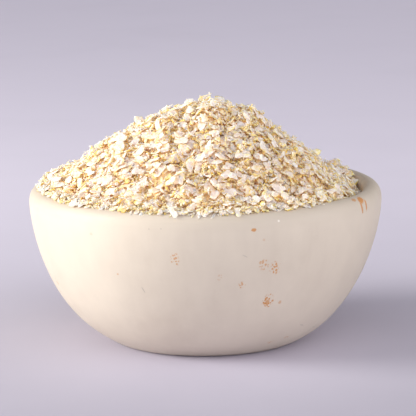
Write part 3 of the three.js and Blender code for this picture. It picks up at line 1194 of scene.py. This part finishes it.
@dataclass
class PlateShape:
    """Bits that are thin plates: a ragged outline, a bevelled edge, and a crumpled top and underside."""

    recipe: FlakeRecipe
    ringed: bool = False
    broken: bool = False
    plain: bool = False
    crumple: float = 0.6
    crumple_most: float = 0.75
    warp: float = 0.16
    least_thick: float = 0.5
    fine_sides: int = 10
    furthest: float = 1.15
    lip_from: float = 0.6
    lip_rise: float = 0.5
    lip_fade: float = 0.5
    toast: float = 0.5
    # Painted shade: how far a bit's tone is lowered, darker and more golden, the deeper it lies under
    # others.
    painted_depth_shade: float = 0.2

    @property
    def fine(self) -> bool:
        """Whether the bits have the finest mesh."""
        return self.recipe.sides >= self.fine_sides and not self.plain

    def outlines(self, count: int, draw: Draws) -> np.ndarray:
        """How far out the corners of each bit's outline lie, as a share of its half sizes.

        Args:
            count: How many bits.
            draw: Where the draws come from.

        Returns:
            One row of corners for each bit.
        """
        sides = self.recipe.sides
        angle = angles(sides)
        out = np.ones((count, sides))
        for folds in (2, 3, 4):
            phase = draw.uniform(0.0, 2.0 * math.pi, (count, 1))
            swell = draw.uniform(0.0, self.recipe.ragged / (folds - 1), (count, 1))
            out += swell * np.cos(folds * angle + phase)
        out *= 1.0 - self.recipe.ragged * draw.uniform(0.0, 0.6, out.shape)
        bitten = np.arange(sides) == draw.integers(0, sides, (count, 1))
        out = np.where(bitten, out * draw.uniform(0.6, 1.0, (count, 1)), out)
        if self.broken:
            facing = np.cos(angle - draw.uniform(0.0, 2.0 * math.pi, (count, 1)))
            cut = draw.uniform(0.05, 0.6, (count, 1))
            out = np.where(facing > 0.05, np.minimum(out, cut / np.maximum(facing, 0.05)), out)
        return np.minimum(out, self.furthest)

    def rings(self) -> tuple[list[Span], int]:
        """The rings of corners from the middle of the top to the middle of the underside.

        Returns:
            Each ring's share of the outline with its height as a share of half the thickness, and which ring
            is the edge.
        """
        if self.plain:
            return [(0.0, 0.9), (1.0, 0.0), (0.0, -0.9)], 1
        if self.fine:
            return [(0.0, 0.75), (0.5, 0.9), (0.86, 1.0), (1.0, 0.1), (0.82, -0.95), (0.0, -0.8)], 3
        return [(0.0, 0.9), (0.8, 0.9), (1.0, 0.0), (0.78, -0.9), (0.0, -0.9)], 2

    def heights(self, laid: Laid, u: np.ndarray, lip: np.ndarray, draw: Draws) -> np.ndarray:
        """How high corners lie on bits that are crumpled, bent and warped.

        Args:
            laid: Where the bits lie.
            u: How far along each corner is, as a share of half the length.
            lip: How much germ rings each corner.
            draw: Where the draws come from.

        Returns:
            Heights by bit, ring and corner, off each bit's middle.
        """
        plan, _ = self.rings()
        share, rise = (np.array(column)[None, :, None] for column in zip(*plan))
        angle = angles(self.recipe.sides)
        wide, thick, bent = (laid.sizes[:, k, None, None] for k in (1, 2, 3))
        uneven = np.clip(self.crumple * draw.normal(size=u.shape), -self.crumple_most, self.crumple_most)
        lift = rise + uneven * (share > 0.0) + self.lip_rise * lip * np.sign(rise)
        bend = bent * (u * u - BEND_SAG)
        for folds in (2, 3):
            warped = draw.normal(0.0, self.warp / folds, (len(laid), 1, 1))
            warped = warped * np.cos(folds * angle + turns(len(laid), draw))
            bend = bend + wide * warped * share**2
        height = lift * thick / 2.0 + bend
        if self.fine:
            below = height[:, -1] + (height[:, -2] - height[:, -1]) * plan[1][0] / plan[-2][0]
            height[:, 1] = np.maximum(height[:, 1], below + self.least_thick * thick[:, 0])
        return height

    def build(self, laid: Laid, draw: Draws) -> tuple[np.ndarray, ...]:
        """Corner points, faces, flat layout and finish numbers of all bits.

        Args:
            laid: Where the bits lie.
            draw: Where the draws come from.

        Returns:
            Points, three-cornered faces, layout pairs, tones and germ shares.
        """
        count, sides = len(laid), self.recipe.sides
        plan, edge = self.rings()
        share = np.array([ring[0] for ring in plan])[None, :, None]
        angle = angles(sides)
        out = share * self.outlines(count, draw)[:, None, :]
        u, v = out * np.cos(angle), out * np.sin(angle)
        lip = self.lip(angle - turns(count, draw), draw) * (share > self.lip_from)
        height = self.heights(laid, u, lip, draw)
        long, wide = (laid.sizes[:, k, None, None] for k in (0, 1))
        points = laid.placed(np.stack([u * long, v * wide, height], axis=-1))
        toasted = self.toast * np.clip(np.cos(angle - turns(count, draw)) + 0.3, 0.0, 1.0) * share**2
        # Painted shade: bits lying deep under others are painted lower in tone.
        pale = draw.uniform(*self.recipe.tone, (count, 1, 1)) - self.painted_depth_shade * laid.cover[:, None, None]
        golden = draw.uniform(0.5, 1.0, (count, 1, 1))
        golden = golden * (draw.uniform(size=(count, 1, 1)) < self.recipe.germ)
        germ = np.maximum(0.9 * lip, golden + 0.0 * lip)
        faces = closed_faces(sides, len(plan))
        strips = [0, *np.repeat(np.arange(1, len(plan) - 2), 2), len(plan) - 2]
        on_top = np.repeat(np.array(strips) < edge, sides)
        corner_u, corner_v = self.corners(u)[:, faces], self.corners(v)[:, faces]
        across = np.where(on_top[None, :, None], 0.25, 0.75) + 0.2 * corner_u
        layout = np.stack([across, 0.5 + 0.4 * corner_v], axis=-1).reshape(count, -1, 2)
        numbers = (self.corners(pale - toasted).ravel(), self.corners(germ).ravel())
        return self.corners(points).reshape(-1, 3), for_all(faces, count), in_tiles(layout), *numbers

    def lip(self, off: np.ndarray, draw: Draws) -> np.ndarray:
        """How much germ rings each corner of the outline.

        Args:
            off: How far round from the germ's middle each corner is, by bit.
            draw: Where the draws come from.

        Returns:
            Shares from 0 to 1, all 0 where the kind has no germ ring.
        """
        if not self.ringed:
            return np.zeros_like(off)
        wide = draw.uniform(0.9, 2.2, (len(off), 1, 1))
        away = np.abs((off + math.pi) % (2.0 * math.pi) - math.pi)
        return eased((wide - away) / self.lip_fade)

    def corners(self, values: np.ndarray) -> np.ndarray:
        """Values by bit, ring and corner, put in one row for each bit, with one corner at each middle."""
        inner = values[:, 1:-1].reshape(len(values), -1, *values.shape[3:])
        return np.concatenate([values[:, :1, 0], inner, values[:, -1:, 0]], axis=1)


@dataclass
class CurlShape:
    """Germ that came loose: a curled strand, thick in the middle and drawn out at its ends."""

    recipe: FlakeRecipe
    steps: int = 9
    turn: Span = (2.2, 4.6)
    drawn_out: float = 0.93
    tightest: float = 0.3
    uneven: float = 0.12
    flat: float = 0.8
    # Painted shade: how far a curl's tone is lowered the deeper it lies under others.
    painted_depth_shade: float = 0.3

    def build(self, laid: Laid, draw: Draws) -> tuple[np.ndarray, ...]:
        """Corner points, faces, flat layout and finish numbers of all curls.

        Args:
            laid: Where the curls lie.
            draw: Where the draws come from.

        Returns:
            Points, three-cornered faces, layout pairs, tones and germ shares.
        """
        count, sides, rings = len(laid), self.recipe.sides, self.steps + 1
        sizes = laid.sizes
        along = np.linspace(-0.5, 0.5, rings)
        sweep = draw.uniform(*self.turn, (count, 1)) * along
        thick = sizes[:, 2:3] / 2.0
        taper = thick * np.sqrt(np.clip(1.0 - (2.0 * along) ** 2 * self.drawn_out, 0.0, 1.0))
        radius = np.maximum(sizes[:, :1] - thick, self.tightest * sizes[:, :1])
        radius = radius * (1.0 + self.uneven * np.sin(3.0 * sweep + draw.uniform(0.0, 6.0, (count, 1))))
        squat = sizes[:, 1:2] / sizes[:, :1]
        around = angles(sides)
        out = radius[:, :, None] + taper[:, :, None] * np.cos(around)
        u = out * np.cos(sweep)[:, :, None]
        v = out * np.sin(sweep)[:, :, None] * squat[:, :, None]
        lifted = sizes[:, 3:4] * (2.0 * along) ** 2
        w = self.flat * taper[:, :, None] * np.sin(around) + lifted[:, :, None]
        points = laid.placed(np.stack([u, v, w], axis=-1))
        ends = points.mean(axis=2)
        points = np.concatenate([ends[:, :1], points.reshape(count, -1, 3), ends[:, -1:]], axis=1)
        faces, corners = closed_faces(sides, rings + 2), self.corners()
        each = rings * sides + 2
        layout = in_tiles(np.broadcast_to(corners, (count, *corners.shape)))
        # Painted shade: curls lying deep under others are painted lower in tone.
        tone = np.repeat(draw.uniform(*self.recipe.tone, count) - self.painted_depth_shade * laid.cover, each)
        germ = np.repeat(draw.uniform(0.55, 1.0, count), each)
        return points.reshape(-1, 3), for_all(faces, count), layout, tone, germ

    def corners(self) -> np.ndarray:
        """The flat layout of one curl, unrolled along and around.

        Returns:
            One pair of numbers for each corner of its faces.
        """
        sides, last = self.recipe.sides, self.steps
        places = [[(-1, 0.5), (0, 0.0), (0, 1.0)]]
        for k in range(last):
            places += [[(k, 0.0), (k + 1, 0.0), (k + 1, 1.0)], [(k, 0.0), (k + 1, 1.0), (k, 1.0)]]
        places.append([(last, 0.0), (last + 1, 0.5), (last, 1.0)])
        spots = np.repeat(np.array(places, float), sides, axis=0)
        along = (spots[..., 0] + 1.0) / (last + 2.0)
        around = (np.tile(np.arange(sides), len(places))[:, None] + spots[..., 1]) / sides
        return (0.08 + 0.84 * np.stack([along, around], axis=-1)).reshape(-1, 2)


@dataclass(frozen=True)
class CoreFinish:
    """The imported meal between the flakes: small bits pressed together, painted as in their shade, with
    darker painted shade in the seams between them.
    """

    # The darkest tone, also used as the painted shade in the seams.
    deep: Triple = (0.86, 0.63, 0.31)
    golden: Triple = (0.94, 0.79, 0.51)
    pale: Triple = (0.97, 0.89, 0.75)
    bit_scale: float = 1000.0
    meal_scale: float = 1400.0
    rough: Span = (0.75, 0.95)
    dents: Span = (0.8, 0.6 * MM)

    def material(self) -> bpy.types.Material:
        """Builds the finish.

        Returns:
            The material.
        """
        desk = NodeDesk("packed_meal")
        where = desk.place()
        meal = desk.noise(where, self.meal_scale, 3.0, 0.6)
        cells = desk.cells(where, self.bit_scale)
        each = desk.add("ShaderNodeSeparateColor", {0: cells.outputs["Color"]}).outputs[0]
        tone = desk.maths("ADD", each, desk.maths("MULTIPLY", meal, 0.4))
        colour = desk.ramp(tone, [(0.15, self.deep), (0.6, self.golden), (1.0, self.pale)])
        # Painted shade: the seams between the packed bits are darkened.
        painted_seam_shade = desk.ranged(cells.outputs["Distance"], (0.35, 0.65), (0.0, 0.7))
        desk.dress(desk.mixed(painted_seam_shade, colour, self.deep), desk.ranged(meal, NOISE_SPAN, self.rough))
        hollow = desk.maths("MULTIPLY", cells.outputs["Distance"], 0.7)
        desk.bump(desk.maths("SUBTRACT", desk.maths("MULTIPLY", meal, 0.5), hollow), *self.dents)
        return desk.material


@dataclass
class FlakeHeap:
    """The heap: a core of packed meal, and the flakes, slivers, curls and crumbs that lie on it."""

    mound: Mound
    depth: float = 3.6 * MM
    layer: float = 1.3 * MM
    core_below: float = 0.5 * MM
    deep_cover: float = 1.4 * MM
    under_cover: float = 0.9 * MM
    hidden_cover: float = 2.4 * MM
    most_bits: int = 32000
    rim_bits: int = 1050
    gap_bits: int = 5000
    gap_depth: float = 0.7 * MM
    top_flakes: int = 420
    crumbs: int = 2100
    rim_crumbs: int = 1200
    looks: int = 5
    top_looks: int = 2
    tries: int = 5
    top_tries: int = 8
    gap_margin: float = 1.5 * MM
    rim_tilt: float = 0.4
    bends: Span = (-0.4, 1.0)
    seed: int = 11
    core_rings: int = 100
    core_around: int = 300
    wall_steps: int = 24
    wall_from: int = 7
    finish: FlakeFinish = field(default_factory=FlakeFinish)

    def build_core(self, bed: FlakeBed) -> bpy.types.Object:
        """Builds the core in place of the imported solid, close under the bits that lie on it.

        Args:
            bed: The finished bed.

        Returns:
            The piece.
        """
        mound = self.mound
        out = np.linspace(0.0, 1.0, self.core_rings)
        top = turned(np.maximum(out * mound.radius, PINCH), np.zeros_like(out), self.core_around)
        top[:, 2] = bed.hollows(top[:, 0], top[:, 1]) - self.core_below
        wall = mound.bowl.inside(self.wall_steps)[self.wall_from :]
        run = directions(wall)
        wall = wall + mound.gap * np.stack([run[:, 1], -run[:, 0]], axis=1)
        wall[-1, 0] = PINCH
        under = turned(wall[:, 0], wall[:, 1], self.core_around)
        points = np.concatenate([top, under])
        along = np.linspace(0.0, 1.0, len(points) // self.core_around)
        faces, layout = ring_faces(self.core_around, along)
        mesh = joined_mesh("heap_core", points, faces[:, ::-1], layout[:, ::-1])
        piece = shown_piece(mesh, CoreFinish().material())
        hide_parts("flake_heap")
        return piece

    def lay(self, bed: FlakeBed) -> dict[FlakeKind, Laid]:
        """Lays all bits, each in the deepest of a few hollows.

        They fill the heap, then its skirt on the rim, then gaps between bits. Whole flakes and crumbs come
        last and lie on top.

        Args:
            bed: What they come to rest on.

        Returns:
            The bits of each kind that show, as they lie.
        """
        draw = np.random.default_rng(self.seed)
        notes: dict[FlakeKind, list[tuple]] = {kind: [] for kind in FlakeKind}
        kinds = list(FlakeKind)
        shares = np.cumsum([RECIPES[kind].share for kind in kinds])
        inner, rim = (0.0, self.mound.radius), (self.mound.radius, bed.half)
        for zone, bits in ((inner, self.most_bits), (rim, self.rim_bits)):
            bed.seek(*zone)
            for _ in range(bits):
                kind = kinds[int(np.searchsorted(shares, draw.uniform(0.0, shares[-1])))]
                at, lack = bed.hollow(draw, self.looks)
                if zone is rim and kind in OFF_RIM:
                    kind = FlakeKind.BROKEN
                if lack > 0.0:
                    notes[kind].append(self.lay_one(bed, kind, at, draw, self.tries))
            below = (bed.wanted - bed.height).ravel()[bed.open]
            log.info("bits lie %.2f mm below the form on average", float(below.mean()) / MM)
        bed.seek_gaps(self.mound.radius - self.gap_margin, self.gap_depth)
        for _ in range(self.gap_bits):
            kind = FILLERS[int(draw.integers(0, len(FILLERS)))]
            at, lack = bed.hollow(draw, self.looks)
            if lack > 0.0:
                notes[kind].append(self.lay_one(bed, kind, at, draw, self.tries))
        on_top = (
            (inner, self.top_flakes, FlakeKind.WHOLE, self.top_looks, self.top_tries),
            (inner, self.crumbs, FlakeKind.CRUMB, 1, 1),
            (rim, self.rim_crumbs, FlakeKind.CRUMB, 1, 1),
        )
        for zone, bits, kind, looks, tries in on_top:
            bed.seek(*zone)
            for _ in range(bits):
                at, _ = bed.hollow(draw, looks)
                notes[kind].append(self.lay_one(bed, kind, at, draw, tries))
        return self.sorted_out(bed, notes)

    def lay_one(
        self, bed: FlakeBed, kind: FlakeKind, at: Spot, draw: Draws, tries: int
    ) -> tuple[np.ndarray, np.ndarray, tuple[float, float, float, float]]:
        """Draws one bit's sizes and lays it down.

        Args:
            bed: What it comes to rest on.
            kind: What it is.
            at: Row and column of its middle.
            draw: Where the draws come from.
            tries: How many ways of lying are tried.

        Returns:
            Its middle, its axes and its sizes.
        """
        recipe = RECIPES[kind]
        half = draw.uniform(*recipe.length) * MM / 2.0
        across = half * draw.uniform(*recipe.slender)
        thick = draw.uniform(*recipe.thick) * MM
        size = (half, across, thick, draw.uniform(*self.bends) * recipe.bend * MM)
        tilt = recipe.tilt * (self.rim_tilt if bed.distance(at) > self.mound.radius else 1.0)
        middle, axes = bed.settle(at, size, tilt, draw, tries, recipe.fills)
        return middle, axes, size

    def sorted_out(self, bed: FlakeBed, notes: dict[FlakeKind, list[tuple]]) -> dict[FlakeKind, Laid]:
        """Sets apart bits that lie under others, and leaves out those that can't be seen at all.

        Args:
            bed: The finished bed.
            notes: Middle, axes and sizes of each bit, by kind.

        Returns:
            The bits that show, by kind, with how deep each is covered, from 0 to 1.
        """
        heap: dict[FlakeKind, Laid] = {}
        for kind, rows in notes.items():
            if kind is FlakeKind.UNDER:
                continue
            middle, axes, sizes = (np.array([row[k] for row in rows]) for k in range(3))
            depths = bed.cover(middle, axes, sizes)
            laid = Laid(middle, axes, sizes, eased(np.median(depths, axis=1) / self.deep_cover))
            least = depths.min(axis=1)
            heap[kind] = laid.kept(least < self.under_cover)
            under = laid.kept((least >= self.under_cover) & (least < self.hidden_cover))
            before = heap.get(FlakeKind.UNDER)
            heap[FlakeKind.UNDER] = before.joined(under) if before else under
        return heap

    def build(self) -> list[bpy.types.Object]:
        """Builds the core, and one piece for each kind of bit.

        Returns:
            The pieces.
        """
        bed = FlakeBed(self.mound, self.depth, self.layer)
        heap = self.lay(bed)
        pieces = [self.build_core(bed)]
        draw = np.random.default_rng(self.seed + 1)
        for kind, laid in heap.items():
            recipe = RECIPES[kind]
            if kind is FlakeKind.CURL:
                shape = CurlShape(recipe)
            else:
                asked = (FlakeKind.RINGED, FlakeKind.BROKEN, FlakeKind.UNDER)
                shape = PlateShape(recipe, *(kind is other for other in asked))
            points, faces, layout, tone, germ = shape.build(laid, draw)
            mesh = joined_mesh(kind.value, points, faces, layout)
            set_numbers(mesh, "tone", tone)
            set_numbers(mesh, "germ", germ)
            log.info("%s: %d bits", kind.value, len(laid))
            pieces.append(shown_piece(mesh, self.finish.material(kind.value + "_finish")))
        return pieces


@dataclass(frozen=True)
class Lamp:
    """A soft square light: where it hangs, how wide it is, its power in watts and its colour."""

    name: str
    place: Triple
    side: float
    power: float
    colour: Triple


@dataclass
class Studio:
    """A pale floor, soft light mostly from the left, and the camera."""

    picture: float = 416.0
    focal_pixels: float = 2482.0
    sensor: float = 36.0
    distance: float = 850 * MM
    elevation: float = 11.5
    aim_height: float = 27 * MM
    aim_pixel: Span = (206.0, 258.1)
    roll: float = 0.645
    bounces: int = 32
    room_light: float = 1.22
    room_lean: Triple = (0.2, -0.85, -0.84)
    room_colour: Triple = (1.0, 0.985, 0.985)
    key: Lamp = Lamp("key", (-0.93, -0.13, 0.32), 0.45, 13.5, (1.0, 0.98, 0.89))
    fill: Lamp = Lamp("fill", (1.05, -0.35, 0.30), 0.7, 3.0, (1.0, 0.97, 0.95))
    clip: Span = (0.05, 20.0)
    floor_side: float = 5.0
    floor_clouds: float = 9.0
    floor_rough: float = 0.7
    floor_gloss: float = 0.2
    # Painted shade: the floor fades from the deep colour in front to the pale one further back.
    floor_pale: Triple = (0.71, 0.672, 0.81)
    floor_deep: Triple = (0.42, 0.40, 0.49)
    floor_fade: Span = (-0.24, 0.38)

    def build(self) -> None:
        """Sets the floor, lights and camera."""
        self.lay_floor()
        self.hang(self.key)
        self.hang(self.fill)
        self.surround()
        self.point_camera()
        bpy.context.scene.view_settings.view_transform = "Standard"
        bpy.context.scene.cycles.diffuse_bounces = self.bounces
        bpy.context.scene.cycles.max_bounces = self.bounces

    def lay_floor(self) -> None:
        """Lays a pale floor under the bowl, with painted shade darkening it towards the front."""
        side = self.floor_side / 2.0
        points = np.array([(-side, -side, 0.0), (side, -side, 0.0), (side, side, 0.0), (-side, side, 0.0)])
        floor = in_scene("floor", joined_mesh("floor", points, np.array([[0, 1, 2, 3]])))
        desk = NodeDesk("pale_floor")
        where = desk.place()
        clouds = desk.noise(where, self.floor_clouds)
        # Painted shade: darker towards the front, paler further back.
        away = desk.ranged(desk.along(where, "Y"), self.floor_fade, (0.0, 0.8))
        paleness = desk.maths("ADD", away, desk.maths("MULTIPLY", clouds, 0.2))
        colour = desk.ramp(paleness, [(0.1, self.floor_deep), (0.9, self.floor_pale)])
        desk.dress(colour, self.floor_rough, self.floor_gloss)
        floor.data.materials.append(desk.material)

    def hang(self, lamp: Lamp) -> None:
        """Hangs a soft light that faces the bowl.

        Args:
            lamp: The light.
        """
        light = bpy.data.lights.new(lamp.name, "AREA")
        light.energy = lamp.power
        light.size = lamp.side
        light.color = lamp.colour
        holder = in_scene(lamp.name, light)
        holder.location = lamp.place
        facing = Vector((0.0, 0.0, self.aim_height)) - holder.location
        holder.rotation_euler = facing.to_track_quat("-Z", "Y").to_euler()

    def surround(self) -> None:
        """Fills the room with soft, nearly white light, brightest low down in front."""
        world = bpy.data.worlds.new("soft_room")
        world.use_nodes = True
        nodes, links = world.node_tree.nodes, world.node_tree.links
        back = nodes["Background"]
        back.inputs["Color"].default_value = (*self.room_colour, 1.0)
        facing = nodes.new("ShaderNodeVectorMath")
        facing.operation = "DOT_PRODUCT"
        links.new(nodes.new("ShaderNodeTexCoord").outputs["Generated"], facing.inputs[0])
        facing.inputs[1].default_value = self.room_lean
        total = nodes.new("ShaderNodeMath")
        links.new(facing.outputs["Value"], total.inputs[0])
        total.inputs[1].default_value = self.room_light
        links.new(total.outputs[0], back.inputs["Strength"])
        bpy.context.scene.world = world

    def point_camera(self) -> None:
        """Points the camera from where the photograph was taken."""
        lens = bpy.data.cameras.new("camera")
        lens.sensor_width = self.sensor
        lens.lens = self.sensor * self.focal_pixels / self.picture
        lens.clip_start, lens.clip_end = self.clip
        camera = in_scene("camera", lens)
        rise, roll = math.radians(self.elevation), math.radians(self.roll)
        aim = Vector((0.0, 0.0, self.aim_height))
        place = aim + self.distance * Vector((0.0, -math.cos(rise), math.sin(rise)))
        facing = (aim - place).to_track_quat("-Z", "Y").to_matrix().to_4x4()
        right, down = (pixel - self.picture / 2.0 for pixel in self.aim_pixel)
        level_right = math.cos(roll) * right - math.sin(roll) * down
        level_down = math.sin(roll) * right + math.cos(roll) * down
        lifted = Matrix.Rotation(math.atan(level_down / self.focal_pixels), 4, "X")
        panned = Matrix.Rotation(math.atan(level_right / self.focal_pixels), 4, "Y")
        rolled = Matrix.Rotation(-roll, 4, "Z")
        camera.matrix_world = Matrix.Translation(place) @ facing @ lifted @ panned @ rolled
        bpy.context.scene.camera = camera


def main() -> None:
    """Builds the bowl, the heap and the studio, logging how many triangles and bits each piece has."""
    logging.basicConfig(level=logging.INFO, format="%(name)s: %(message)s")
    bowl = StoneBowl.from_frame()
    bowl.build()
    FlakeHeap(Mound(bowl)).build()
    Studio().build()


if __name__ == "__main__":
    main()
